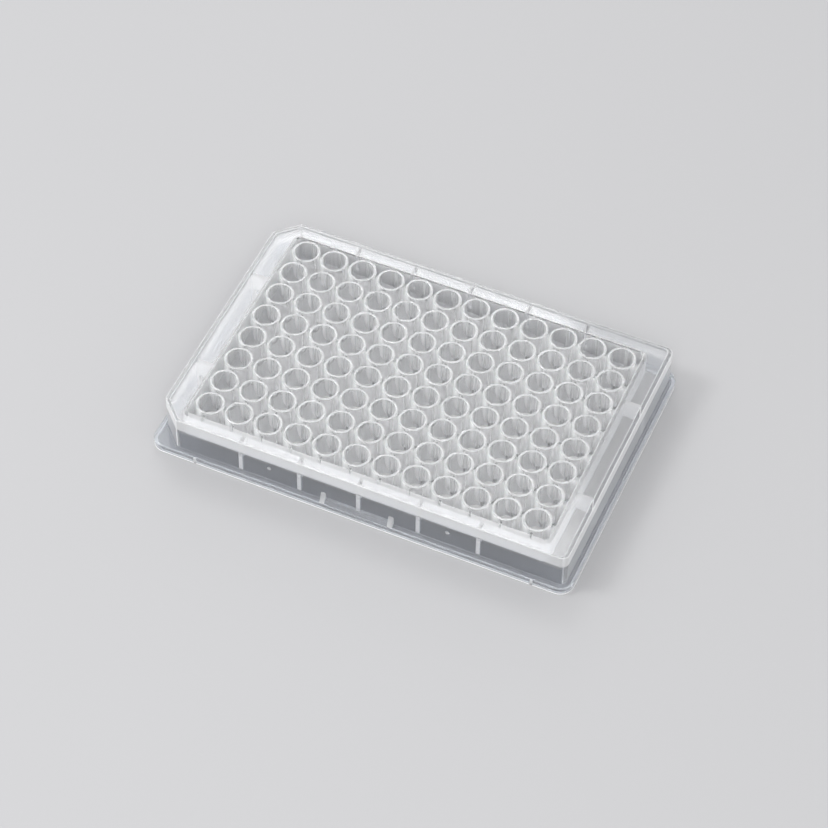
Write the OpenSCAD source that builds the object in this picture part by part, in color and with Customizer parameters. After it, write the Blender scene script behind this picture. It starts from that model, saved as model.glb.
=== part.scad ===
// Well plate, 8 rows by 12 columns of round-bottomed wells, moulded in one piece.
// Millimetres. Origin at the centre of the base. +X runs from column 1 to
// column 12, +Y from row H to row A, +Z up.

/* [Foot] */
// Length of the foot along X
foot_l = 127.76; // [114:0.01:140]
// Width of the foot along Y
foot_w = 85.48; // [76:0.01:100]
// Height of the foot flange
foot_h = 2.4; // [1.8:0.1:3.5]
// Corner radius of the foot
foot_r = 4.2; // [2.5:0.1:6]
// Wall of the foot around the stacking recess
foot_wall = 1.15; // [0.8:0.05:1.3]
// Depth of the stacking recess under the foot
stack_depth = 1.2; // [0.6:0.1:1.4]

/* [Outer wall] */
// Width of the ledge that the foot leaves outside the two end walls
end_ledge = 1.9; // [1.5:0.05:3]
// Width of the ledge that the foot leaves outside the two long walls
side_ledge = 1.8; // [1.5:0.05:3]
// Width of the bead around the bottom of the outer wall
bead_w = 0.5; // [0.3:0.05:1]
// Height of the bead
bead_h = 0.4; // [0.2:0.05:0.8]
// Thickness of the two end walls
end_wall = 1.4; // [0.8:0.05:2]
// Thickness of the two long walls
side_wall = 0.85; // [0.6:0.05:1.6]
// Thickness of the wall across the two cut corners
cut_wall = 1.1; // [0.6:0.05:1.8]
// Leg of the two cut corners beside column 1
corner_cut = 6.3; // [3:0.1:8]
// Radius of the two corners beside column 12
corner_r = 2.2; // [1.6:0.1:4]
// Height from the base to the top of the rim
rim_h = 14.2; // [13.8:0.05:20]

/* [Deck] */
// Depth of the deck below the top of the rim
deck_drop = 0.35; // [0.2:0.05:0.8]
// Thickness of the deck
deck_t = 1.2; // [0.8:0.1:2]

/* [Wells] */
// Number of columns
columns = 12; // [2:1:12]
// Number of rows
rows = 8; // [2:1:8]
// Bore of a well
well_d = 6.9; // [5.5:0.05:7.2]
// Thickness of a well's wall
well_wall = 0.65; // [0.5:0.05:0.8]
// Depth of a well from its rim to the bottom of its round end
well_depth = 11; // [8:0.1:11.5]
// Height that the well rims stand above the rim of the plate
well_proud = 0.15; // [0:0.05:0.5]

/* [Well tray] */
// Width of the channel between the tray and each end wall
end_channel = 4.98; // [4:0.01:8]
// Width of the channel between the tray and each long wall
side_channel = 2.59; // [2:0.01:5]
// Clearance from the end columns to the tray wall
tray_gap_x = 1; // [0.5:0.1:2]
// Clearance from the end rows to the tray wall
tray_gap_y = 0.9; // [0.5:0.1:1.4]
// Thickness of the tray wall
tray_wall = 1; // [0.7:0.05:1.2]
// Depth of the tray's underside below the deck
tray_depth = 8.5; // [6:0.05:8.8]
// Thickness of the tray floor
tray_floor = 0.8; // [0.6:0.05:1.5]
// Leg of the tray's two cut corners beside column 1
tray_cut = 0.8; // [0.5:0.1:3]
// Radius of the tray's two corners beside column 12
tray_r = 1.2; // [0.8:0.1:2]
// Thickness of the webs that join the wells
web_t = 0.9; // [0.6:0.05:1.5]
// Depth of the webs' top edge below the well rims
web_drop = 0.8; // [0.5:0.05:3]

/* [Ribs and gussets] */
// Thickness of the ribs between the tray and the outer wall
rib_t = 1.2; // [0.8:0.05:2]
// How far a rib's lower end stands in from the outer wall
rib_tongue = 0.8; // [0.5:0.05:1.5]
// Height of a rib's lower end above the base
rib_end = 1.7; // [1.4:0.1:3]
// Height of a rib's lower edge above the tray's underside, at the tray
rib_rise = 1.8; // [0.5:0.05:3]
// How much lower that edge is where it meets the tongue
rib_fall = 0.4; // [0:0.05:1]
// Half the distance between the two gussets of a long side
gusset_x = 10.25; // [6:0.05:16]
// Thickness of a gusset
gusset_t = 1.5; // [1:0.1:2]
// Height of a gusset where it meets the wall
gusset_h = 6.2; // [4.8:0.1:8]
// Height of the ramp between the gussets where it meets the wall
ramp_h = 4.1; // [3:0.1:4.5]

/* [Marks] */
// Distance of each dimple in a long wall from the middle
dimple_x = 27; // [20:0.5:40]
// Height of the dimples above the base
dimple_z = 7.4; // [5:0.1:10]
// Diameter of a dimple
dimple_d = 1.2; // [0.8:0.1:2]
// Depth of a dimple
dimple_depth = 0.2; // [0.1:0.05:0.3]
// Distance of the foot's notch on the column 1 side from the middle
notch_a = 49.4; // [40:0.1:55]
// Distance of the foot's notch on the column 12 side from the middle
notch_b = 52.8; // [40:0.1:55]
// Width of a notch in the face of the foot
notch_w = 0.8; // [0.5:0.1:1.5]
// Depth of a notch
notch_depth = 0.3; // [0.1:0.05:0.4]

/* [Hidden] */
cut = 1;                                        // length that a cutter runs past a face
bite = 0.2;                                     // how far joined pieces run into each other

wall_l = foot_l - 2 * end_ledge;                // the outer wall
wall_w = foot_w - 2 * side_ledge;
inner_l = wall_l - 2 * end_wall;                // its inner face
inner_w = wall_w - 2 * side_wall;
inner_cut = corner_cut - end_wall - side_wall + cut_wall * sqrt(2);
inner_r = max(corner_r - side_wall, 0.4);
deck_z = rim_h - deck_drop;                     // top of the deck
top_z = rim_h + well_proud;                     // top of the well rims

tray_l = inner_l - 2 * end_channel;             // outside the tray
tray_w = inner_w - 2 * side_channel;
pocket_l = tray_l - 2 * tray_wall;              // inside the tray
pocket_w = tray_w - 2 * tray_wall;
well_od = well_d + 2 * well_wall;
pitch_x = (pocket_l - 2 * tray_gap_x - well_od) / (columns - 1);    // between columns, 9
pitch_y = (pocket_w - 2 * tray_gap_y - well_od) / (rows - 1);       // between rows, 9
tray_z = deck_z - tray_depth;                   // underside of the tray
floor_z = tray_z + tray_floor;                  // top of its floor
tray_outer_cut = tray_cut + tray_wall * (2 - sqrt(2));
ball_z = top_z - well_depth + well_d / 2;       // centre of a well's round end
side_pitch = 2 * pitch_x;                       // between ribs
end_pitch = 2 * pitch_y;
side_ribs = floor((tray_l / 2 - tray_outer_cut - rib_t) / side_pitch);
end_ribs = floor((tray_w / 2 - tray_outer_cut - rib_t) / end_pitch);

function col_x(i) = (i - (columns - 1) / 2) * pitch_x;
function row_y(j) = ((rows - 1) / 2 - j) * pitch_y;

// An outline with its two -X corners cut and its two +X corners rounded.
module outline(l, w, c, r) {
    x = l / 2;
    y = w / 2;
    polygon([[-x + c, -y], [x - r, -y], [x, -y + r], [x, y - r],
             [x - r, y], [-x + c, y], [-x, y - c], [-x, -y + c]]);
    for (s = [-1, 1]) translate([x - r, s * (y - r)]) circle(r = r, $fn = 48);
}

module slab(z0, z1, l, w, c, r)
    translate([0, 0, z0]) linear_extrude(height = z1 - z0) outline(l, w, c, r);

// A rectangle with four equal rounded corners.
module round_slab(z0, z1, l, w, r)
    translate([0, 0, z0]) linear_extrude(height = z1 - z0) {
        square([l - 2 * r, w], center = true);
        square([l, w - 2 * r], center = true);
        for (sx = [-1, 1], sy = [-1, 1])
            translate([sx * (l / 2 - r), sy * (w / 2 - r)]) circle(r = r, $fn = 64);
    }

// A flat piece with the profile pts in its own XY plane, stood up on the YZ plane.
module upright(t, pts)
    rotate([90, 0, 90]) translate([0, 0, -t / 2]) linear_extrude(height = t) polygon(pts);

// The outer wall with its foot and its deck, open under the deck.
module shell() {
    difference() {
        union() {
            round_slab(0, foot_h, foot_l, foot_w, foot_r);
            slab(0, rim_h, wall_l, wall_w, corner_cut, corner_r);
            slab(0, foot_h + bead_h, wall_l + 2 * bead_w, wall_w + 2 * bead_w,
                 corner_cut + bead_w * (2 - sqrt(2)), corner_r + bead_w);
            for (s = [0, 180]) rotate([0, 0, s]) wall_pad();
        }
        slab(deck_z, rim_h + cut, inner_l, inner_w, inner_cut, inner_r);
        slab(-cut, deck_z - deck_t, inner_l, inner_w, inner_cut, inner_r);
        round_slab(-cut, stack_depth, foot_l - 2 * foot_wall, foot_w - 2 * foot_wall,
                   foot_r - foot_wall);
        slab(stack_depth, deck_z + cut, pocket_l, pocket_w, tray_cut, tray_r);
        marks();
    }
}

// The dimples in the long walls and the notches in the face of the foot.
module marks() {
    for (sx = [-1, 1], sy = [-1, 1])
        translate([sx * dimple_x, sy * (wall_w / 2 - dimple_depth), dimple_z]) rotate([-90 * sy, 0, 0])
            cylinder(d = dimple_d, h = dimple_depth + cut, $fn = 32);
    for (x = [-notch_a, notch_b], s = [-1, 1])
        translate([x - notch_w / 2, s > 0 ? foot_w / 2 - notch_depth : -foot_w / 2 - cut, -cut])
            cube([notch_w, notch_depth + cut, foot_h + 2 * cut]);
}

// The ramp and the two gussets in the middle of the long side at +Y.
module wall_pad() {
    y0 = wall_w / 2 - side_wall / 2;
    y1 = wall_w / 2;
    y2 = foot_w / 2;
    z0 = foot_h - bite;
    upright(2 * gusset_x, [[y0, z0], [y2, z0], [y2, foot_h], [y1, ramp_h], [y0, ramp_h]]);
    for (s = [-1, 1]) translate([s * gusset_x, 0, 0])
        upright(gusset_t, [[y0, z0], [y2, z0], [y2, foot_h], [y1, gusset_h], [y0, gusset_h]]);
}

// The tray that holds the wells, hanging from the deck.
module tray() {
    difference() {
        slab(tray_z, deck_z, tray_l, tray_w, tray_outer_cut, tray_r + tray_wall);
        slab(floor_z, deck_z + cut, pocket_l, pocket_w, tray_cut, tray_r);
    }
}

// One rib from the tray, reach away from the centre, to a wall face at face.
module rib(reach, face) {
    upright(rib_t, [[reach - bite, deck_z - deck_t + bite], [face + bite, deck_z - deck_t + bite],
                    [face + bite, rib_end], [face - rib_tongue, rib_end],
                    [face - rib_tongue, tray_z + rib_rise - rib_fall],
                    [reach - bite, tray_z + rib_rise]]);
}

module ribs() {
    for (i = [-side_ribs : side_ribs], s = [0, 180])
        rotate([0, 0, s]) translate([i * side_pitch, 0, 0])
            rib(tray_w / 2, inner_w / 2);
    for (i = [-end_ribs : end_ribs], s = [90, 270])
        if (i != 0) rotate([0, 0, s]) translate([i * end_pitch, 0, 0])
            rib(tray_l / 2, inner_l / 2);
}

// The cross webs that tie the wells to each other and to the tray wall.
module webs() {
    h = top_z - web_drop - floor_z + bite;
    for (i = [0 : columns - 1])
        translate([col_x(i) - web_t / 2, -pocket_w / 2 - bite, floor_z - bite])
            cube([web_t, pocket_w + 2 * bite, h]);
    for (j = [0 : rows - 1])
        translate([-pocket_l / 2 - bite, row_y(j) - web_t / 2, floor_z - bite])
            cube([pocket_l + 2 * bite, web_t, h]);
}

module well_tube() {
    translate([0, 0, ball_z]) cylinder(d = well_od, h = top_z - ball_z, $fn = 64);
    translate([0, 0, ball_z]) sphere(d = well_od, $fn = 64);
}

module well_bore() {
    translate([0, 0, ball_z]) cylinder(d = well_d, h = top_z - ball_z + cut, $fn = 64);
    translate([0, 0, ball_z]) sphere(d = well_d, $fn = 64);
}

module at_wells()
    for (i = [0 : columns - 1], j = [0 : rows - 1]) translate([col_x(i), row_y(j), 0]) children();

// The whole plate, in one piece.
module plate() {
    color("whitesmoke") difference() {
        union() {
            shell();
            tray();
            ribs();
            webs();
            at_wells() well_tube();
        }
        at_wells() well_bore();
    }
}

plate();
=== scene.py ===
"""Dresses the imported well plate: one moulding of natural translucent polypropylene.

The plate is modelled sub-assembly by sub-assembly, each as a closed solid, and the
solids are then merged into the single moulding that the real plate is. Metres, in the
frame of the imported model: +X from column 1 to column 12, +Y from row H to row A, +Z up.
"""

import logging
import math
from dataclasses import dataclass
from enum import Enum
from typing import Callable, Iterable, Sequence

import bpy
from mathutils import Matrix, Vector


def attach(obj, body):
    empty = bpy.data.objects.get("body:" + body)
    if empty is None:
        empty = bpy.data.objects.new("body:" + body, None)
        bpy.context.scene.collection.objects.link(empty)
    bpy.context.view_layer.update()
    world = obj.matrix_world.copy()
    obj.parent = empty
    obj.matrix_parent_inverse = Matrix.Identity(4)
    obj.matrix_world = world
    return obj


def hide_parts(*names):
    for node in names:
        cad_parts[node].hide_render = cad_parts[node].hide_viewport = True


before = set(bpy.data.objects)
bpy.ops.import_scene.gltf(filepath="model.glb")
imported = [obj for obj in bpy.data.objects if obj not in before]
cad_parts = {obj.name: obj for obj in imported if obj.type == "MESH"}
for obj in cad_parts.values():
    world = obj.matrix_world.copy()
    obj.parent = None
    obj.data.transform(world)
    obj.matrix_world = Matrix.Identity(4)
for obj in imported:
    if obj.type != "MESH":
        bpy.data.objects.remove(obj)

LOG = logging.getLogger("well_plate")

MM = 0.001
NEAR = 2e-6  # two places closer than this are the same place
FLAT = 0.02 * MM  # the corners of a level face differ by less than this in height
CLEAR = 1 * MM  # how far a cutter runs past a face
BITE = 0.3 * MM  # how far joined pieces run into each other
LEVEL = 0.99  # the normal of a level face rises or falls by more than this
UPRIGHT = 0.05  # the normal of an upright face rises or falls by less than this
SQUARE = 0.999  # the normal of a face square to X or Y has more than this along it
SMOOTH = math.radians(38)  # faces that meet at less than this are shaded as one round

Solid = bpy.types.Object
Face = bpy.types.MeshPolygon
Tree = bpy.types.NodeTree
Socket = bpy.types.NodeSocket
Triple = tuple[float, float, float]
Span = tuple[float, float]
EdgeTest = Callable[[Vector, Vector], bool]


class Cut(Enum):
    """How one solid is worked into another."""

    JOIN = "UNION"
    REMOVE = "DIFFERENCE"


class Corner(Enum):
    """How an upright corner of a slab is finished, as the steps of its bevel."""

    CUT = 1
    ROUND = 7


# ----------------------------------------------------------------------------- bench


def pick_up(obj: Solid) -> None:
    """Select one object alone and make it active.

    Args:
        obj: The object to work on.
    """
    bpy.ops.object.select_all(action="DESELECT")
    obj.select_set(True)
    bpy.context.view_layer.objects.active = obj


def settle(obj: Solid, name: str) -> Solid:
    """Name a new primitive and put its place into its mesh.

    Args:
        obj: The primitive as it was added.
        name: The name that it gets.

    Returns:
        The same object, now at the origin, unturned and unscaled.
    """
    obj.name = name
    obj.data.name = name
    pick_up(obj)
    bpy.ops.object.transform_apply(location=True, rotation=True, scale=True)
    return obj


def block(name: str, low: Sequence[float], high: Sequence[float]) -> Solid:
    """Add a box between two corners.

    Args:
        name: The name of the new object.
        low: The lowest corner.
        high: The highest corner.

    Returns:
        The box.
    """
    a, b = Vector(low), Vector(high)
    bpy.ops.object.select_all(action="DESELECT")
    bpy.ops.mesh.primitive_cube_add(size=1.0, location=(a + b) / 2, scale=b - a)
    return settle(bpy.context.object, name)


def edit_edges(obj: Solid, test: EdgeTest, work: Callable[[], object]) -> None:
    """Run an edit-mode operation on the edges that pass a test.

    Args:
        obj: The object to work on.
        test: Takes an edge's two ends and says whether it is wanted.
        work: The operation, run with those edges selected.
    """
    pick_up(obj)
    mesh = obj.data
    mesh.polygons.foreach_set("select", [False] * len(mesh.polygons))
    mesh.vertices.foreach_set("select", [False] * len(mesh.vertices))
    for edge in mesh.edges:
        a, b = (mesh.vertices[i] for i in edge.vertices)
        edge.select = test(a.co, b.co)
        if edge.select:
            a.select = b.select = True
    bpy.context.tool_settings.mesh_select_mode = (False, True, False)
    bpy.ops.object.mode_set(mode="EDIT")
    work()
    bpy.ops.object.mode_set(mode="OBJECT")


def round_edges(obj: Solid, test: EdgeTest, radius: float, steps: int) -> None:
    """Bevel the edges that pass a test.

    Args:
        obj: The object to work on.
        test: Takes an edge's two ends and says whether it is wanted.
        radius: The size of the bevel.
        steps: Its number of segments: one makes a flat cut, more make a rounding.
    """
    edit_edges(
        obj,
        test,
        lambda: bpy.ops.mesh.bevel(
            offset=radius, segments=steps, profile=0.5, affect="EDGES", clamp_overlap=True
        ),
    )


def lower_edges(obj: Solid, test: EdgeTest, drop: float) -> None:
    """Bring the edges that pass a test down."""
    edit_edges(obj, test, lambda: bpy.ops.transform.translate(value=(0, 0, -drop)))


def level(z: float) -> EdgeTest:
    """Give a test for edges that lie flat at a height."""
    return lambda a, b: abs(a.z - z) < NEAR and abs(b.z - z) < NEAR


def upright(side: float) -> EdgeTest:
    """Give a test for upright edges on one side of the YZ plane."""
    return lambda a, b: abs(a.x - b.x) < NEAR and abs(a.y - b.y) < NEAR and a.x * side > 0


def within(place: Vector, length: float, width: float, margin: float = NEAR) -> bool:
    """Tell whether a place lies over a centred rectangle, or past it by up to a margin."""
    return abs(place.x) < length / 2 + margin and abs(place.y) < width / 2 + margin


def slab(
    name: str,
    heights: Span,
    length: float,
    width: float,
    left: tuple[Corner, float],
    right: tuple[Corner, float],
) -> Solid:
    """Make a slab centred on the Z axis, with its upright corners finished.

    Args:
        name: The name of the new object.
        heights: Its lower and upper face.
        length: Its size along X.
        width: Its size along Y.
        left: The finish and size of the two -X corners.
        right: The finish and size of the two +X corners.

    Returns:
        The slab.
    """
    z0, z1 = heights
    obj = block(name, (-length / 2, -width / 2, z0), (length / 2, width / 2, z1))
    for side, (kind, size) in ((-1.0, left), (1.0, right)):
        round_edges(obj, upright(side), size, kind.value)
    return obj


def work_in(body: Solid, how: Cut, others: Iterable[Solid]) -> Solid:
    """Join closed solids to a body, or cut them out of it, and use them up.

    Args:
        body: The solid that is kept.
        how: Whether the others are joined or removed.
        others: Solids that don't meet one another.

    Returns:
        The body.
    """
    tools = list(others)
    if len(tools) > 1:
        pick_up(tools[0])
        for tool in tools[1:]:
            tool.select_set(True)
        bpy.ops.object.join()
    tool = tools[0]
    pick_up(body)
    step = body.modifiers.new("work", "BOOLEAN")
    step.operation = how.value
    step.solver = "MANIFOLD"
    step.object = tool
    bpy.ops.object.modifier_apply(modifier=step.name)
    bpy.data.objects.remove(tool, do_unlink=True)
    return body


def copies(model: Solid, places: Iterable[Matrix]) -> list[Solid]:
    """Copy one modelled piece to many places, each copy with its own mesh.

    Args:
        model: The piece, which is used up.
        places: Where each copy goes.

    Returns:
        The copies.
    """
    out = []
    for place in places:
        mesh = model.data.copy()
        mesh.transform(place)
        obj = bpy.data.objects.new(model.name, mesh)
        bpy.context.collection.objects.link(obj)
        out.append(obj)
    bpy.data.objects.remove(model, do_unlink=True)
    return out


def shifted(x: float, y: float) -> Matrix:
    """Give the place that lies x and y away from the origin."""
    return Matrix.Translation((x, y, 0.0))


def around(quarters: Iterable[int], offsets: Sequence[float]) -> list[Matrix]:
    """Give the places at some offsets along the sides of the plate.

    Args:
        quarters: The sides, as quarter turns from the one at +Y.
        offsets: The distances from the middle of a side.

    Returns:
        The places, side by side.
    """
    turns = [Matrix.Rotation(q * math.pi / 2, 4, "Z") for q in quarters]
    return [turn @ shifted(x, 0) for turn in turns for x in offsets]


# -------------------------------------------------------------------------- finishes


def node(tree: Tree, kind: str, **values: object) -> bpy.types.Node:
    """Add a node, set its properties and feed its inputs.

    Args:
        tree: The node tree.
        kind: The node's type.
        **values: Properties, then inputs by name, with underscores for spaces. An
            input takes a value or the output of another node.

    Returns:
        The node.
    """
    made = tree.nodes.new(kind)
    for key, value in values.items():
        label = key.replace("_", " ")
        if label not in made.inputs:
            setattr(made, key, value)
        elif isinstance(value, Socket):
            tree.links.new(value, made.inputs[label])
        else:
            made.inputs[label].default_value = value
    return made


def calc(tree: Tree, operation: str, *values: Socket | float) -> Socket:
    """Work out a number from others.

    Args:
        tree: The node tree.
        operation: The Math node's operation.
        *values: Its inputs in order, each a number or the output of another node.

    Returns:
        The result.
    """
    made = node(tree, "ShaderNodeMath", operation=operation)
    for socket, value in zip(made.inputs, values):
        if isinstance(value, Socket):
            tree.links.new(value, socket)
        else:
            socket.default_value = value
    return made.outputs["Value"]


def scaled(
    tree: Tree, value: Socket, given: Span, wanted: Span = (0.0, 1.0), curve: str = "LINEAR"
) -> Socket:
    """Map one range of numbers onto another, held at its ends.

    Args:
        tree: The node tree.
        value: The number that comes in.
        given: The range that it is read on.
        wanted: The range that comes out.
        curve: The kind of rise between the ends.

    Returns:
        The number that comes out.
    """
    ends = dict(zip(("From_Min", "From_Max", "To_Min", "To_Max"), (*given, *wanted)))
    made = node(tree, "ShaderNodeMapRange", interpolation_type=curve, Value=value, **ends)
    return made.outputs["Result"]


def mixed(
    tree: Tree, share: Socket | float, a: Socket | Triple, b: Socket | Triple, how: str = "MIX"
) -> Socket:
    """Mix two colours.

    Args:
        tree: The node tree.
        share: How much of the second one is in the mix.
        a: The first colour, or the output that gives it.
        b: The second one.
        how: The way the second one is laid over the first.

    Returns:
        The mix.
    """
    a, b = (end if isinstance(end, Socket) else (*end, 1.0) for end in (a, b))
    made = node(tree, "ShaderNodeMix", data_type="RGBA", blend_type=how, Factor=share, A=a, B=b)
    return made.outputs["Result"]


def noise(tree: Tree, place: Socket, **values: Socket | float) -> Socket:
    """Give the cloudy noise at a place, with the values of the Noise node's inputs."""
    return node(tree, "ShaderNodeTexNoise", Vector=place, **values).outputs["Fac"]


@dataclass(frozen=True)
class MouldSkin:
    """The skin that a polished mould leaves on plastic: faint clouding and draw lines."""

    name: str = "mould_skin"
    cloud_scale: float = 60.0
    cloud_height: float = 0.35
    line_scale: float = 1600.0
    line_squash: float = 0.04
    line_range: Span = (0.35, 0.65)
    flat_range: Span = (0.2, 0.7)

    def group(self) -> Tree:
        """Build the shader group, or give it back if it is built already.

        Returns:
            A group with the inputs Cloud Scale, Line Scale, Line Amount and Streak
            Depth, and with the outputs Cloud, Streaks and Height.
        """
        if self.name in bpy.data.node_groups:
            return bpy.data.node_groups[self.name]
        tree = bpy.data.node_groups.new(self.name, "ShaderNodeTree")
        face = tree.interface
        for label, value in (
            ("Cloud Scale", self.cloud_scale),
            ("Line Scale", self.line_scale),
            ("Line Amount", 0.5),
            ("Streak Depth", 0.0),
        ):
            socket = face.new_socket(label, in_out="INPUT", socket_type="NodeSocketFloat")
            socket.default_value = value
        for label in ("Cloud", "Streaks", "Height"):
            face.new_socket(label, in_out="OUTPUT", socket_type="NodeSocketFloat")
        given = node(tree, "NodeGroupInput").outputs
        place = node(tree, "ShaderNodeTexCoord").outputs["Object"]
        cloud = noise(tree, place, Scale=given["Cloud Scale"], Detail=3.0, Roughness=0.55)
        squash = (1.0, 1.0, self.line_squash)
        drawn = node(tree, "ShaderNodeMapping", Vector=place, Scale=squash).outputs["Vector"]
        lines = noise(tree, drawn, Scale=given["Line Scale"], Detail=2.0, Roughness=0.6)
        normal = node(tree, "ShaderNodeNewGeometry").outputs["Normal"]
        tilt = node(tree, "ShaderNodeSeparateXYZ", Vector=normal).outputs["Z"]
        steep = scaled(tree, calc(tree, "ABSOLUTE", tilt), self.flat_range, (1.0, 0.0))
        amount = calc(tree, "MULTIPLY", steep, given["Line Amount"])
        relief = calc(tree, "MULTIPLY", lines, amount)
        height = calc(tree, "ADD", relief, calc(tree, "MULTIPLY", cloud, self.cloud_height))
        dark = calc(tree, "MULTIPLY", scaled(tree, lines, self.line_range), steep)
        dark = calc(tree, "MULTIPLY", dark, given["Streak Depth"])
        streaks = calc(tree, "SUBTRACT", 1.0, dark)
        node(tree, "NodeGroupOutput", Cloud=cloud, Streaks=streaks, Height=height)
        return tree


@dataclass(frozen=True)
class NaturalPlastic:
    """Natural polypropylene of one thickness: a clear body with a milky haze in it.

    The haze is faint where the surface is looked through and thick along its outline. Some zones
    also get painted shade that darkens them towards the foot, and a band of painted light between
    two heights.
    """

    name: str
    haze_share: Span
    haze_from: Span = (0.38, 0.8)
    haze: Triple = (0.975, 0.98, 0.985)
    haze_depth: float = 0.0
    thin: Triple = (0.86, 0.88, 0.91)
    thick: Triple = (0.90, 0.91, 0.94)
    # Painted shade: the colour fades to the deep one below the lower of the heights that follow.
    deep: Triple | None = None
    painted_shade_heights: Span = (8.0 * MM, 9.5 * MM)
    # Painted light: extra haze between two heights that paints a lit band.
    painted_light_haze: float = 0.0
    painted_light_heights: Span = (9.8 * MM, 10.6 * MM)
    transmission: float = 0.95
    roughness: Span = (0.04, 0.10)
    haze_roughness: float = 0.35
    index: float = 1.3
    lines: float = 0.5
    streaks: float = 0.0
    bump: float = 0.06
    bump_depth: float = 0.1 * MM

    def make(self) -> bpy.types.Material:
        """Build the material.

        Returns:
            The material.
        """
        made = bpy.data.materials.new(self.name)
        made.use_nodes = True
        tree = made.node_tree
        tree.nodes.clear()
        skin = node(tree, "ShaderNodeGroup", node_tree=MouldSkin().group())
        skin.inputs["Line Amount"].default_value = self.lines
        skin.inputs["Streak Depth"].default_value = self.streaks
        bump = node(tree, "ShaderNodeBump", Strength=self.bump, Distance=self.bump_depth)
        tree.links.new(skin.outputs["Height"], bump.inputs["Height"])
        relief = bump.outputs["Normal"]
        body = node(
            tree,
            "ShaderNodeBsdfPrincipled",
            Base_Color=self.with_painted_shade(tree, self.clouded(tree, skin, self.thin, self.thick)),
            Roughness=scaled(tree, skin.outputs["Cloud"], (0.0, 1.0), self.roughness),
            Transmission_Weight=self.transmission,
            IOR=self.index,
            Normal=relief,
        )
        faint = tuple(0.99 * c for c in self.haze)
        milk = node(
            tree,
            "ShaderNodeBsdfPrincipled",
            Base_Color=self.clouded(tree, skin, faint, self.haze),
            Roughness=self.haze_roughness,
            Subsurface_Weight=1.0 if self.haze_depth else 0.0,
            Subsurface_Radius=(1.0, 1.0, 1.0),
            Subsurface_Scale=self.haze_depth or MM,
            Normal=relief,
        )
        both = node(tree, "ShaderNodeMixShader", Fac=self.share(tree))
        tree.links.new(body.outputs["BSDF"], both.inputs[1])
        tree.links.new(milk.outputs["BSDF"], both.inputs[2])
        node(tree, "ShaderNodeOutputMaterial", Surface=both.outputs["Shader"])
        return made

    def share(self, tree: Tree) -> Socket:
        """Work out how much of the haze shows over the clear body.

        Args:
            tree: The material's node tree.

        Returns:
            The share, which grows along outlines and in a band of painted light.
        """
        facing = node(tree, "ShaderNodeLayerWeight", Blend=0.5).outputs["Facing"]
        share = scaled(tree, facing, self.haze_from, self.haze_share)
        if not self.painted_light_haze:
            return share
        # Painted light: more haze in the band between two heights.
        more = calc(tree, "ADD", share, self.height_fade(tree, self.painted_light_heights, self.painted_light_haze))
        return calc(tree, "MINIMUM", more, 1.0)

    def clouded(self, tree: Tree, skin: bpy.types.Node, low: Triple, high: Triple) -> Socket:
        """Mix two colours by the skin's clouding, darker along its streaks if it has any.

        Args:
            tree: The material's node tree.
            skin: The mould skin's group node.
            low: The colour where the clouding is faint.
            high: The colour where it is full.

        Returns:
            The colour.
        """
        colour = mixed(tree, skin.outputs["Cloud"], low, high)
        if not self.streaks:
            return colour
        return mixed(tree, 1.0, colour, skin.outputs["Streaks"], "MULTIPLY")

    def with_painted_shade(self, tree: Tree, colour: Socket) -> Socket:
        """Darken a colour towards the foot with painted shade.

        Args:
            tree: The material's node tree.
            colour: The colour to darken.

        Returns:
            The colour, fading below a height to the deep colour that paints the shade.
        """
        if not self.deep:
            return colour
        return mixed(tree, self.height_fade(tree, self.painted_shade_heights, 1.0), self.deep, colour)

    @staticmethod
    def height_fade(tree: Tree, heights: Span, top: float) -> Socket:
        """Measure a smooth rise from nothing between two heights.

        Args:
            tree: The material's node tree.
            heights: The height where the rise starts and the one where it ends.
            top: The value at its end.

        Returns:
            The value.
        """
        place = node(tree, "ShaderNodeTexCoord").outputs["Object"]
        height = node(tree, "ShaderNodeSeparateXYZ", Vector=place).outputs["Z"]
        return scaled(tree, height, heights, (0.0, top), "SMOOTHSTEP")


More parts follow.
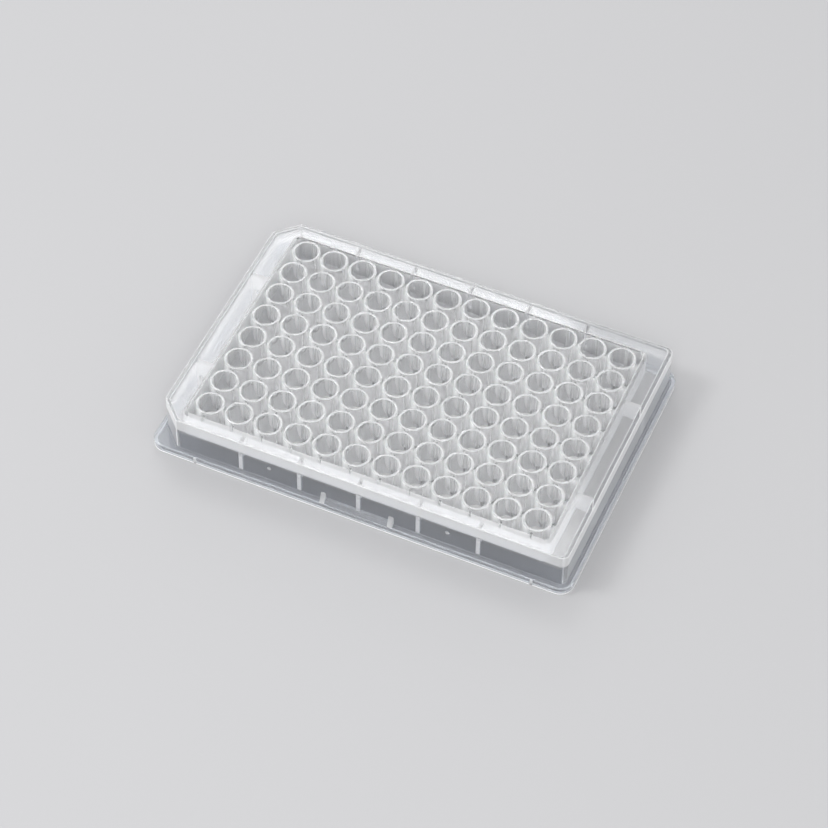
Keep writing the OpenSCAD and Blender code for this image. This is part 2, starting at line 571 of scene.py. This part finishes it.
class Zone(Enum):
    """A zone of the moulding, by how thick and how clear its plastic looks."""

    WALL = NaturalPlastic(
        "clear_wall",
        haze_share=(0.03, 0.3),
        thin=(0.90, 0.92, 0.95),
        thick=(0.93, 0.94, 0.965),
        # Painted light: the haze thickens above about 10 mm, painting a lit upper band on the
        # wall.
        painted_light_haze=0.4,
    )
    LINING = NaturalPlastic(
        "painted_shade_lining",
        haze_share=(0.02, 0.2),
        thin=(0.93, 0.945, 0.965),
        thick=(0.95, 0.96, 0.975),
        # Painted shade: the skirt's inner faces darken to blue-grey towards the foot, under the
        # deck.
        deep=(0.36, 0.40, 0.47),
    )
    FOOT = NaturalPlastic(
        "clear_foot",
        haze_share=(0.12, 0.45),
        # Painted shade: the foot's clear plastic is tinted dark grey-blue.
        thin=(0.60, 0.63, 0.69),
        thick=(0.64, 0.67, 0.72),
        # Painted highlight: the haze thickens over the lowest 0.75 mm, painting a bright line
        # along the foot's bottom edge.
        painted_light_haze=0.85,
        painted_light_heights=(0.75 * MM, 0.35 * MM),
        lines=0.0,
        bump=0.0,
    )
    DECK = NaturalPlastic(
        "clear_deck",
        haze_share=(0.04, 0.4),
        haze_from=(0.2, 0.8),
        haze_depth=3 * MM,
        thin=(0.95, 0.955, 0.97),
        thick=(0.96, 0.965, 0.975),
        index=1.49,
    )
    EDGE = NaturalPlastic(
        "milky_edge",
        haze_share=(0.6, 0.95),
        haze_from=(0.2, 0.8),
        haze=(0.86, 0.87, 0.885),
        haze_depth=3 * MM,
    )
    RING = NaturalPlastic(
        "well_rim",
        haze_share=(0.45, 0.85),
        haze_from=(0.2, 0.8),
        haze=(0.77, 0.78, 0.80),
        haze_depth=3 * MM,
    )
    TRAY = NaturalPlastic("milky_wall", haze_share=(1.0, 1.0), haze=(0.98, 0.98, 0.985))
    PAD = NaturalPlastic("milky_pad", haze_share=(0.35, 0.7))
    WEB = NaturalPlastic("milky_web", haze_share=(1.0, 1.0), haze=(0.98, 0.99, 0.995))
    TUBE = NaturalPlastic(
        "well_wall",
        haze_share=(0.0, 1.0),
        haze_from=(0.42, 0.62),
        haze=(0.98, 0.99, 0.995),
        thin=(0.97, 0.97, 0.98),
        thick=(0.98, 0.98, 0.985),
    )
    BORE = NaturalPlastic(
        "well_bore",
        haze_share=(0.10, 0.8),
        haze_from=(0.5, 0.95),
        haze=(0.98, 0.99, 0.995),
        thin=(0.985, 0.985, 0.99),
        thick=(0.99, 0.99, 0.995),
        lines=1.0,
        streaks=0.1,
        bump=0.15,
    )
    CUP = NaturalPlastic(
        "well_bottom",
        haze_share=(0.9, 1.0),
        haze=(0.98, 0.98, 0.985),
        thin=(0.95, 0.95, 0.96),
        thick=(0.96, 0.96, 0.97),
        roughness=(0.1, 0.2),
    )
    PAN = NaturalPlastic(
        "tray_floor",
        haze_share=(0.62, 0.80),
        haze=(0.98, 0.985, 0.99),
        thin=(0.88, 0.89, 0.91),
        thick=(0.89, 0.90, 0.92),
        roughness=(0.1, 0.2),
    )


@dataclass(frozen=True)
class PaleFloor:
    """A matt pale floor."""

    name: str = "pale_floor"
    colour: Triple = (0.45, 0.45, 0.46)
    shade: float = 0.98
    roughness: float = 0.75
    shine: float = 0.2

    def make(self) -> bpy.types.Material:
        """Build the material.

        Returns:
            The material.
        """
        made = bpy.data.materials.new(self.name)
        made.use_nodes = True
        tree = made.node_tree
        shell = tree.nodes["Principled BSDF"].inputs
        shell["Roughness"].default_value = self.roughness
        shell["Specular IOR Level"].default_value = self.shine
        place = node(tree, "ShaderNodeTexCoord").outputs["Object"]
        cloud = noise(tree, place, Scale=6.0, Detail=2.0)
        colour = mixed(tree, cloud, self.colour, tuple(self.shade * c for c in self.colour))
        tree.links.new(colour, shell["Base Color"])
        return made


# -------------------------------------------------------------------- sub-assemblies


@dataclass
class Skirt:
    """The foot, the outer wall with its bead and lip, and the deck inside the lip."""

    foot_length: float = 127.76 * MM
    foot_width: float = 85.48 * MM
    foot_height: float = 2.4 * MM
    foot_corner: float = 4.2 * MM
    foot_wall: float = 1.15 * MM
    stack_depth: float = 1.2 * MM
    end_ledge: float = 1.9 * MM
    side_ledge: float = 1.8 * MM
    bead_width: float = 0.5 * MM
    bead_height: float = 0.4 * MM
    end_wall: float = 1.4 * MM
    side_wall: float = 0.85 * MM
    cut_wall: float = 1.1 * MM
    corner_cut: float = 6.3 * MM
    corner_radius: float = 2.2 * MM
    rim_height: float = 14.2 * MM
    deck_drop: float = 0.35 * MM
    deck_thickness: float = 1.2 * MM
    edge: float = 0.28 * MM

    @property
    def wall_length(self) -> float:
        """Length over the outer wall."""
        return self.foot_length - 2 * self.end_ledge

    @property
    def wall_width(self) -> float:
        """Width over the outer wall."""
        return self.foot_width - 2 * self.side_ledge

    @property
    def inner_length(self) -> float:
        """Length inside the outer wall."""
        return self.wall_length - 2 * self.end_wall

    @property
    def inner_width(self) -> float:
        """Width inside the outer wall."""
        return self.wall_width - 2 * self.side_wall

    @property
    def inner_cut(self) -> float:
        """Leg of the cut corners on the wall's inner face."""
        walls = self.end_wall + self.side_wall
        return self.corner_cut - walls + self.cut_wall * math.sqrt(2)

    @property
    def bead_top(self) -> float:
        """Height of the bead that runs round the wall on the foot."""
        return self.foot_height + self.bead_height

    @property
    def deck_top(self) -> float:
        """Height of the deck."""
        return self.rim_height - self.deck_drop

    @property
    def deck_middle(self) -> float:
        """Height halfway through the deck, where the ribs end."""
        return self.deck_top - self.deck_thickness / 2

    def build(self) -> Solid:
        """Model the foot, the bead and the wall as one solid block.

        Returns:
            The block, not yet hollowed.
        """
        corner = (Corner.ROUND, self.foot_corner)
        heights = (0.0, self.foot_height)
        foot = slab("foot", heights, self.foot_length, self.foot_width, corner, corner)
        round_edges(foot, level(self.foot_height), self.edge, steps=3)
        round_edges(foot, level(0.0), self.edge / 2, steps=2)
        wall = slab(
            "wall",
            (self.foot_height / 2, self.rim_height),
            self.wall_length,
            self.wall_width,
            (Corner.CUT, self.corner_cut),
            (Corner.ROUND, self.corner_radius),
        )
        round_edges(wall, upright(-1.0), self.edge, steps=3)
        bead = slab(
            "bead",
            (self.foot_height / 2, self.bead_top),
            self.wall_length + 2 * self.bead_width,
            self.wall_width + 2 * self.bead_width,
            (Corner.CUT, self.corner_cut + self.bead_width * (2 - math.sqrt(2))),
            (Corner.ROUND, self.corner_radius + self.bead_width),
        )
        round_edges(bead, level(self.bead_top), self.bead_width / 2, steps=2)
        work_in(foot, Cut.JOIN, [wall])
        return work_in(foot, Cut.JOIN, [bead])

    def hollow(self, body: Solid, tray: "WellTray") -> None:
        """Cut the deck's recess, the space under the deck and the stacking recess.

        Args:
            body: The block that build made.
            tray: The well tray, which stays standing in the space under the deck.
        """
        inner = (
            self.inner_length,
            self.inner_width,
            (Corner.CUT, self.inner_cut),
            (Corner.ROUND, self.corner_radius - self.side_wall),
        )
        under = slab("under", (-CLEAR, self.deck_top - self.deck_thickness), *inner)
        work_in(under, Cut.REMOVE, [tray.block()])
        recess = slab("recess", (self.deck_top, self.rim_height + CLEAR), *inner)
        corner = (Corner.ROUND, self.foot_corner - self.foot_wall)
        stack = slab(
            "stack",
            (-CLEAR, self.stack_depth),
            self.foot_length - 2 * self.foot_wall,
            self.foot_width - 2 * self.foot_wall,
            corner,
            corner,
        )
        for tool in (under, recess, stack):
            work_in(body, Cut.REMOVE, [tool])

    def soften(self, body: Solid) -> None:
        """Round the lip's two top edges."""
        round_edges(body, level(self.rim_height), 0.8 * self.edge, steps=3)

    def levels(self) -> list[tuple[float, Zone]]:
        """List the skirt's large level faces.

        Returns:
            The height of each, with its zone.
        """
        upper = (self.rim_height, self.deck_top, self.deck_top - self.deck_thickness)
        lower = (self.bead_top, self.foot_height, self.stack_depth, 0.0)
        return [(z, Zone.DECK) for z in upper] + [(z, Zone.FOOT) for z in lower]

    def zone(self, face: Face) -> Zone:
        """Sort a face that belongs to no other sub-assembly.

        Args:
            face: The face.

        Returns:
            Its zone, which is an edge's, the foot's, the lining's or the wall's.
        """
        place, normal = face.center, face.normal
        by_side = not within(place, self.foot_length, self.foot_width, -self.edge)
        under = by_side and normal.z < -UPRIGHT and place.z < self.edge
        if under or place.z > self.rim_height - self.edge or self.on_cut(face):
            return Zone.EDGE
        if place.z < self.bead_top + NEAR:
            return Zone.FOOT
        inside = within(place, self.inner_length, self.inner_width)
        return Zone.LINING if inside and normal.dot(place) < 0 else Zone.WALL

    def on_cut(self, face: Face) -> bool:
        """Tell whether a face lies on a rounded upright edge of a cut corner.

        Args:
            face: The face.

        Returns:
            Whether it does.
        """
        place, normal = face.center, face.normal
        reach = (self.wall_length + self.wall_width) / 2 - self.corner_cut - 0.5 * MM
        by_corner = place.x < 0 and abs(place.x) + abs(place.y) > reach
        steep = abs(normal.z) < UPRIGHT and place.z > self.bead_top
        # The flat faces stand at every 45 degrees, and the roundings' faces between them.
        turn = math.degrees(math.atan2(abs(normal.y), abs(normal.x))) % 45.0
        return by_corner and steep and 2.0 < turn < 43.0


@dataclass
class WellTray:
    """The deep tray that hangs from the skirt's deck and holds the wells."""

    skirt: Skirt
    length: float = 109.2 * MM
    width: float = 73.0 * MM
    wall: float = 1.0 * MM
    depth: float = 8.5 * MM
    floor: float = 0.8 * MM
    cut: float = 0.8 * MM
    radius: float = 1.2 * MM
    edge: float = 0.2 * MM

    @property
    def bottom(self) -> float:
        """Height of the underside."""
        return self.skirt.deck_top - self.depth

    @property
    def floor_top(self) -> float:
        """Height of the floor that the wells stand on."""
        return self.bottom + self.floor

    def block(self) -> Solid:
        """Make the tray's outer form as a solid block.

        Returns:
            The block.
        """
        obj = slab(
            "tray",
            (self.bottom, self.skirt.deck_top),
            self.length + 2 * self.wall,
            self.width + 2 * self.wall,
            (Corner.CUT, self.cut + self.wall * (2 - math.sqrt(2))),
            (Corner.ROUND, self.radius + self.wall),
        )
        round_edges(obj, level(self.bottom), self.edge, steps=2)
        return obj

    def hollow(self, body: Solid) -> None:
        """Cut the pocket that the wells stand in.

        Args:
            body: The block that the tray is part of.
        """
        pocket = slab(
            "pocket",
            (self.floor_top, self.skirt.deck_top + CLEAR),
            self.length,
            self.width,
            (Corner.CUT, self.cut),
            (Corner.ROUND, self.radius),
        )
        work_in(body, Cut.REMOVE, [pocket])

    def soften(self, body: Solid) -> None:
        """Round the pocket's edge at the deck."""
        flat, size = level(self.skirt.deck_top), (self.length, self.width)
        round_edges(
            body,
            lambda a, b: flat(a, b) and within(a, *size) and within(b, *size),
            self.edge,
            steps=2,
        )

    def levels(self) -> list[tuple[float, Zone]]:
        """List the heights of the floor's two level faces, each with its zone."""
        return [(self.floor_top, Zone.PAN), (self.bottom, Zone.PAN)]

    def encloses(self, place: Vector) -> bool:
        """Tell whether a place lies over the pocket."""
        return within(place, self.length, self.width, self.edge / 2)

    def zone(self, face: Face) -> Zone | None:
        """Sort a face outside the pocket.

        Args:
            face: The face.

        Returns:
            The zone of a face of the tray's wall or of its edge at the deck, or None.
        """
        place, size = face.center, (self.length, self.width)
        by_deck = place.z > self.skirt.deck_top - 1.2 * self.edge
        if by_deck and within(place, *size, 2 * self.edge):
            return Zone.EDGE
        return Zone.TRAY if within(place, *size, self.wall + NEAR) else None


@dataclass
class WellField:
    """The wells, on their grid."""

    tray: WellTray
    rows: int = 8
    columns: int = 12
    pitch: float = 9.0 * MM
    bore: float = 6.9 * MM
    wall: float = 0.65 * MM
    depth: float = 11.0 * MM
    top: float = 14.35 * MM
    lip: float = 0.2 * MM
    sides: int = 32
    end_rounding: float = 0.985  # as a share of the radius
    end_steps: int = 6

    @property
    def ball(self) -> float:
        """Height of the centre of a well's round end."""
        return self.top - self.depth + self.bore / 2

    def line(self, count: int) -> list[float]:
        """Give the offsets of a number of wells in line, the middle at nought."""
        return [(k - (count - 1) / 2) * self.pitch for k in range(count)]

    def places(self) -> list[Matrix]:
        """Give the place of every well, row by row."""
        return [shifted(x, -y) for y in self.line(self.rows) for x in self.line(self.columns)]

    def round_ended(self, name: str, radius: float, top: float) -> Solid:
        """Make a cylinder on the Z axis with a round lower end.

        Args:
            name: The name of the new object.
            radius: Its radius.
            top: The height of its flat upper end.

        Returns:
            The cylinder.
        """
        low = self.ball - radius
        bpy.ops.object.select_all(action="DESELECT")
        bpy.ops.mesh.primitive_cylinder_add(
            vertices=self.sides,
            radius=radius,
            depth=top - low,
            location=(0, 0, (top + low) / 2),
        )
        obj = settle(bpy.context.object, name)
        round_edges(obj, level(low), self.end_rounding * radius, self.end_steps)
        return obj

    def tubes(self) -> list[Solid]:
        """Make the outsides of the wells, one solid for each."""
        tube = self.round_ended("tube", self.bore / 2 + self.wall, self.top)
        return copies(tube, self.places())

    def bores(self) -> list[Solid]:
        """Make the insides of the wells, one cutter for each."""
        bore = self.round_ended("bore", self.bore / 2, self.top + CLEAR)
        return copies(bore, self.places())

    def soften(self, body: Solid) -> None:
        """Round the inner and outer edge of every well's rim."""
        round_edges(body, level(self.top), self.lip, steps=3)

    def away(self, place: Vector) -> Vector:
        """Give the way to a place from the axis of the well that is nearest to it.

        Args:
            place: The place.

        Returns:
            The level part of that way.
        """
        x = min(self.line(self.columns), key=lambda spot: abs(place.x - spot))
        y = min(self.line(self.rows), key=lambda spot: abs(place.y - spot))
        return Vector((place.x - x, place.y - y, 0.0))

    def zone(self, face: Face) -> Zone:
        """Sort a face over the pocket that belongs to no web.

        Args:
            face: The face.

        Returns:
            Its zone, which is one of a well's.
        """
        place, away = face.center, self.away(face.center)
        if place.z > self.top - 1.15 * self.lip:
            return Zone.RING
        # Next to the axis a face looks up, so the way to it says nothing of its side.
        inward = away.dot(face.normal) < 0 or away.length < 1.0 * MM
        if inward and away.length < self.bore / 2 + NEAR:
            return Zone.BORE if place.z > self.ball - NEAR else Zone.CUP
        return Zone.CUP if place.z < self.tray.floor_top - NEAR else Zone.TUBE


@dataclass
class Webs:
    """The thin webs that tie the wells to one another and to the tray."""

    field: WellField
    thickness: float = 0.9 * MM
    drop: float = 0.8 * MM
    edge: float = 0.12 * MM

    def strips(self, along_x: bool) -> list[Solid]:
        """Make the webs that run one way.

        Args:
            along_x: Whether the webs run along X, one for each row.

        Returns:
            One strip for each row or column.
        """
        field, tray = self.field, self.field.tray
        reach = (tray.length if along_x else tray.width) / 2 + tray.wall / 2
        half = self.thickness / 2
        x, y = (reach, half) if along_x else (half, reach)
        low = tray.floor_top - tray.floor / 2
        top = field.top - self.drop
        strip = block("web", (-x, -y, low), (x, y, top))
        round_edges(strip, level(top), self.edge, steps=2)
        if along_x:
            return copies(strip, [shifted(0, d) for d in field.line(field.rows)])
        return copies(strip, [shifted(d, 0) for d in field.line(field.columns)])

    def zone(self, face: Face) -> Zone | None:
        """Sort a face over the pocket.

        Args:
            face: The face.

        Returns:
            The webs' zone for one of their sides, or None.
        """
        place, field, tray = face.center, self.field, self.field.tray
        between = field.away(place).length > field.bore / 2 + field.wall + NEAR
        square = max(abs(face.normal.x), abs(face.normal.y)) > SQUARE
        on_web = between and square and within(place, tray.length, tray.width, -NEAR)
        return Zone.WEB if on_web else None


@dataclass
class Ribs:
    """The ribs between the tray and the outer wall, with a tongue down the wall."""

    tray: WellTray
    pitch: float = 18.0 * MM
    thickness: float = 1.2 * MM
    tongue: float = 0.8 * MM
    end: float = 1.7 * MM
    tip: float = 0.48 * MM
    rise: float = 1.8 * MM
    fall: float = 0.4 * MM
    side_steps: tuple[int, ...] = (-2, -1, 0, 1, 2)
    end_steps: tuple[int, ...] = (-1, 1)

    def blade(self, near: float, far: float) -> Solid:
        """Make the part of a rib that spans from the tray to the wall, along +Y.

        Args:
            near: Distance of the tray's outer face from the middle.
            far: Distance of the wall's inner face from the middle.

        Returns:
            The blade, with its lower edge falling towards the wall.
        """
        half, top = self.thickness / 2, self.tray.skirt.deck_middle
        start = self.tray.bottom + self.rise
        obj = block("blade", (-half, near - BITE, start), (half, far + BITE, top))
        lower_edges(obj, lambda a, b: level(start)(a, b) and min(a.y, b.y) > far, self.fall)
        return obj

    def stub(self, far: float) -> Solid:
        """Make the tongue that runs on down the wall's inner face.

        Args:
            far: Distance of the wall's inner face from the middle.

        Returns:
            The tongue, with a rounded lower end.
        """
        half, top = self.thickness / 2, self.tray.skirt.deck_middle
        obj = block("tongue", (-half, far - self.tongue, self.end), (half, far + BITE, top))
        round_edges(
            obj,
            lambda a, b: level(self.end)(a, b) and abs(a.x - b.x) < NEAR,
            self.tip,
            steps=4,
        )
        return obj

    def build(self) -> tuple[list[Solid], list[Solid]]:
        """Make every rib.

        Returns:
            The blades, and the tongues.
        """
        tray, skirt = self.tray, self.tray.skirt
        blades, tongues = [], []
        for quarters, steps, near, far in (
            ((0, 2), self.side_steps, tray.width / 2, skirt.inner_width / 2),
            ((1, 3), self.end_steps, tray.length / 2, skirt.inner_length / 2),
        ):
            places = around(quarters, [k * self.pitch for k in steps])
            blades += copies(self.blade(near + tray.wall, far), places)
            tongues += copies(self.stub(far), places)
        return blades, tongues

    def zone(self, face: Face) -> Zone | None:
        """Sort a face outside the tray.

        Args:
            face: The face.

        Returns:
            The zone of a face of a rib or its tongue, or None.
        """
        place, tray, skirt = face.center, self.tray, self.tray.skirt
        if not self.end - NEAR < place.z < skirt.deck_top - skirt.deck_thickness - NEAR:
            return None
        for along, across, start, stop in (
            (place.x, place.y, tray.width / 2, skirt.inner_width / 2),
            (place.y, place.x, tray.length / 2, skirt.inner_length / 2),
        ):
            off = abs(along - self.pitch * round(along / self.pitch))
            if off < self.thickness / 2 + NEAR and start < abs(across) < stop - NEAR:
                return Zone.TRAY
        return None


@dataclass
class GripPads:
    """The ramp between two gussets in the middle of each long side."""

    skirt: Skirt
    offset: float = 10.25 * MM
    thickness: float = 1.5 * MM
    gusset_height: float = 6.2 * MM
    ramp_height: float = 4.1 * MM
    rounding: float = 0.45 * MM

    def wedge(self, name: str, half: float, height: float) -> Solid:
        """Make a wedge on the foot against the wall at +Y.

        Args:
            name: The name of the new object.
            half: Half its size along X.
            height: Its height where it meets the wall.

        Returns:
            The wedge.
        """
        skirt = self.skirt
        out = skirt.foot_width / 2 - skirt.edge
        low = (-half, skirt.wall_width / 2 - BITE, skirt.foot_height - BITE)
        obj = block(name, low, (half, out, height))
        lower_edges(
            obj,
            lambda a, b: level(height)(a, b) and min(a.y, b.y) > out - NEAR,
            height - skirt.foot_height,
        )
        return obj

    def build(self) -> tuple[list[Solid], list[Solid]]:
        """Make the ramps and the gussets.

        Returns:
            The ramps, and the gussets.
        """
        ramp = self.wedge("ramp", self.offset, self.ramp_height)
        gusset = self.wedge("gusset", self.thickness / 2, self.gusset_height)
        round_edges(
            gusset,
            lambda a, b: abs(a.x - b.x) < NEAR
            and max(a.z, b.z) > self.gusset_height - NEAR
            and min(a.z, b.z) > self.skirt.foot_height - NEAR,
            self.rounding,
            steps=3,
        )
        return (
            copies(ramp, around((0, 2), [0.0])),
            copies(gusset, around((0, 2), [-self.offset, self.offset])),
        )

    def zone(self, face: Face) -> Zone | None:
        """Sort a face outside the tray.

        Args:
            face: The face.

        Returns:
            The zone of a face of a gusset, or None.
        """
        place, skirt = face.center, self.skirt
        beside = abs(abs(place.x) - self.offset) < self.thickness / 2 + NEAR
        above = skirt.bead_top < place.z < self.gusset_height
        outside = abs(place.y) > skirt.wall_width / 2 + NEAR
        return Zone.PAD if beside and above and outside else None


@dataclass
class Marks:
    """The dimples in the long walls and the notches in the face of the foot."""

    skirt: Skirt
    dimple_offset: float = 27.0 * MM
    dimple_height: float = 7.4 * MM
    dimple_diameter: float = 1.2 * MM
    dimple_depth: float = 0.2 * MM
    dimple_rounding: float = 0.15 * MM
    dimple_sides: int = 20
    notch_places: Span = (-49.4 * MM, 52.8 * MM)
    notch_width: float = 0.8 * MM
    notch_depth: float = 0.3 * MM

    def dimples(self) -> list[Solid]:
        """Make the cutters for the dimples.

        Returns:
            One short pin for each dimple.
        """
        inner = self.skirt.wall_width / 2 - self.dimple_depth
        bpy.ops.object.select_all(action="DESELECT")
        bpy.ops.mesh.primitive_cylinder_add(
            vertices=self.dimple_sides,
            radius=self.dimple_diameter / 2,
            depth=2 * CLEAR,
            rotation=(math.pi / 2, 0, 0),
            location=(0, inner + CLEAR, self.dimple_height),
        )
        pin = settle(bpy.context.object, "dimple")
        round_edges(
            pin,
            lambda a, b: max(abs(a.y - inner), abs(b.y - inner)) < NEAR,
            self.dimple_rounding,
            steps=2,
        )
        return copies(pin, around((0, 2), [-self.dimple_offset, self.dimple_offset]))

    def notches(self) -> list[Solid]:
        """Make the cutters for the notches.

        Returns:
            One block for each notch.
        """
        half, face = self.notch_width / 2, self.skirt.foot_width / 2
        inner, outer = face - self.notch_depth, face + CLEAR
        top = self.skirt.foot_height + CLEAR
        return [
            block("notch", (x - half, y0, -CLEAR), (x + half, y1, top))
            for x in self.notch_places
            for y0, y1 in ((inner, outer), (-outer, -inner))
        ]

    def zone(self, face: Face) -> Zone | None:
        """Sort a face outside the tray.

        Args:
            face: The face.

        Returns:
            The zone of a face in a dimple or a notch, or None.
        """
        place, wall = face.center, self.skirt.wall_width / 2
        rise = place.z - self.dimple_height
        radius = math.hypot(abs(place.x) - self.dimple_offset, rise)
        deep = wall - 2 * self.dimple_depth < abs(place.y) < wall - NEAR
        if deep and radius < self.dimple_diameter / 2 + NEAR:
            return Zone.PAD
        off = min(abs(place.x - spot) for spot in self.notch_places)
        outside = abs(place.y) > self.skirt.foot_width / 2 - 2 * self.notch_depth
        return Zone.EDGE if outside and off < self.notch_width / 2 + NEAR else None


# ----------------------------------------------------------------------------- plate


class WellPlate:
    """The whole plate: its sub-assemblies merged into one moulding."""

    def __init__(self) -> None:
        """Size every sub-assembly, each on the one that carries it."""
        self.skirt = Skirt()
        self.tray = WellTray(self.skirt)
        self.field = WellField(self.tray)
        self.webs = Webs(self.field)
        self.ribs = Ribs(self.tray)
        self.pads = GripPads(self.skirt)
        self.marks = Marks(self.skirt)

    def build(self) -> Solid:
        """Model the moulding.

        Returns:
            The plate, as one closed mesh.
        """
        skirt, tray, field = self.skirt, self.tray, self.field
        body = skirt.build()
        self.report(body, "foot and wall")
        skirt.hollow(body, tray)
        tray.hollow(body)
        self.report(body, "tray")
        for family in (*self.ribs.build(), *self.pads.build()):
            work_in(body, Cut.JOIN, family)
        self.report(body, "ribs and pads")
        for cutters in (self.marks.dimples(), self.marks.notches()):
            work_in(body, Cut.REMOVE, cutters)
        for along_x in (True, False):
            work_in(body, Cut.JOIN, self.webs.strips(along_x))
        self.report(body, "webs and marks")
        work_in(body, Cut.JOIN, field.tubes())
        work_in(body, Cut.REMOVE, field.bores())
        self.report(body, "wells")
        for part in (field, skirt, tray):
            part.soften(body)
        self.finish(body)
        self.paint(body)
        self.report(body, "finished moulding")
        return body

    @staticmethod
    def report(body: Solid, stage: str) -> None:
        """Log how far the moulding has come."""
        LOG.info("%s: %d faces", stage, len(body.data.polygons))

    @staticmethod
    def finish(body: Solid) -> None:
        """Clean the mesh up and give it smooth rounds between flat faces.

        Args:
            body: The moulding.
        """
        pick_up(body)
        bpy.ops.object.mode_set(mode="EDIT")
        bpy.ops.mesh.select_all(action="SELECT")
        bpy.ops.mesh.remove_doubles(threshold=NEAR / 2)
        bpy.ops.object.mode_set(mode="OBJECT")
        bpy.ops.object.shade_smooth_by_angle(angle=SMOOTH)
        step = body.modifiers.new("flats", "WEIGHTED_NORMAL")
        step.keep_sharp = True
        bpy.ops.object.modifier_apply(modifier=step.name)
        body.name = "well_plate"
        body.data.name = "well_plate"

    def paint(self, body: Solid) -> None:
        """Give every face the finish of its zone.

        Args:
            body: The finished moulding.
        """
        zones = list(Zone)
        mesh = body.data
        mesh.materials.clear()
        for zone in zones:
            mesh.materials.append(zone.value.make())
        for face in mesh.polygons:
            heights = [mesh.vertices[i].co.z for i in face.vertices]
            zone = self.level_zone(face, min(heights), max(heights)) or self.zone(face)
            face.material_index = zones.index(zone)

    def level_zone(self, face: Face, low: float, high: float) -> Zone | None:
        """Sort the large level faces, whose middle says little about them.

        Args:
            face: A face of the moulding.
            low: The height of its lowest corner.
            high: The height of its highest corner.

        Returns:
            The zone of a level face of the skirt or the tray's floor, or None.
        """
        if high - low > FLAT or abs(face.normal.z) < LEVEL:
            return None
        for height, zone in self.skirt.levels() + self.tray.levels():
            if abs(low - height) < FLAT:
                return zone
        return None

    def zone(self, face: Face) -> Zone:
        """Ask the sub-assemblies in turn whether a face is theirs, the skirt last.

        Args:
            face: A face of the moulding.

        Returns:
            The zone that the face belongs to.
        """
        around_tray = (self.tray, self.ribs, self.pads, self.marks, self.skirt)
        in_tray = self.tray.encloses(face.center)
        parts = (self.webs, self.field) if in_tray else around_tray
        return next(zone for zone in (part.zone(face) for part in parts) if zone)


# ---------------------------------------------------------------------------- studio


@dataclass
class Lamp:
    """One soft box."""

    name: str
    place: Triple
    size: Span
    power: float

    def add(self) -> None:
        """Add the lamp, facing the middle of the plate's base."""
        data = bpy.data.lights.new(self.name, "AREA")
        data.shape = "RECTANGLE"
        data.size, data.size_y = self.size
        data.energy = self.power
        lamp = bpy.data.objects.new(self.name, data)
        bpy.context.scene.collection.objects.link(lamp)
        lamp.location = self.place
        lamp.rotation_euler = (-Vector(self.place)).to_track_quat("-Z", "Y").to_euler()


@dataclass
class Studio:
    """The pale floor, the soft lamps, the world and the camera."""

    floor_size: float = 6.0
    floor_gap: float = 0.05 * MM
    sky: float = 0.9
    lamps: tuple[Lamp, ...] = (
        Lamp("key", (0.27, -0.64, 0.85), (0.5, 0.5), 3.6),
        Lamp("side", (-0.62, -0.30, 0.85), (0.3, 0.3), 3.6),
        Lamp("back", (-0.44, 1.03, 0.43), (0.5, 0.3), 0.8),
        Lamp("sheen", (-0.31, 0.59, 0.78), (0.30, 0.30), 1.2),
        Lamp("glow", (-0.12, 0.59, 0.78), (0.16, 0.30), 0.15),
    )
    camera_place: Triple = (0.2045, -0.4798, 0.6385)
    camera_turn: Triple = (39.214, -0.607, 23.923)  # degrees
    lens: float = 125.434
    sensor: float = 36.0
    clear_bounces: int = 32
    matt_bounces: int = 24

    def floor(self) -> None:
        """Lay the floor just under the plate's base."""
        bpy.ops.object.select_all(action="DESELECT")
        bpy.ops.mesh.primitive_plane_add(size=self.floor_size, location=(0, 0, -self.floor_gap))
        obj = settle(bpy.context.object, "floor")
        obj.data.materials.append(PaleFloor().make())

    def world(self) -> None:
        """Set an even sky."""
        world = bpy.data.worlds.new("sky")
        bpy.context.scene.world = world
        world.use_nodes = True
        back = world.node_tree.nodes["Background"].inputs
        back["Color"].default_value = (1.0, 1.0, 1.0, 1.0)
        back["Strength"].default_value = self.sky

    def camera(self) -> None:
        """Stand the camera."""
        data = bpy.data.cameras.new("camera")
        data.lens = self.lens
        data.sensor_width = self.sensor
        data.clip_start, data.clip_end = 0.01, 50.0
        obj = bpy.data.objects.new("camera", data)
        bpy.context.scene.collection.objects.link(obj)
        obj.location = self.camera_place
        obj.rotation_euler = [math.radians(angle) for angle in self.camera_turn]
        bpy.context.scene.camera = obj

    def build(self) -> None:
        """Set everything up."""
        self.floor()
        for lamp in self.lamps:
            lamp.add()
        self.world()
        self.camera()
        scene = bpy.context.scene
        scene.view_settings.view_transform = "Standard"
        scene.cycles.max_bounces = self.clear_bounces
        scene.cycles.transmission_bounces = self.clear_bounces
        scene.cycles.diffuse_bounces = self.matt_bounces
        scene.cycles.glossy_bounces = self.matt_bounces


def main() -> None:
    """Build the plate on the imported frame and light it."""
    logging.basicConfig(level=logging.INFO, format="%(name)s: %(message)s")
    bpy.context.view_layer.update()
    plate = WellPlate().build()
    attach(plate, "root")
    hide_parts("plate")
    Studio().build()


if __name__ == "__main__":
    main()
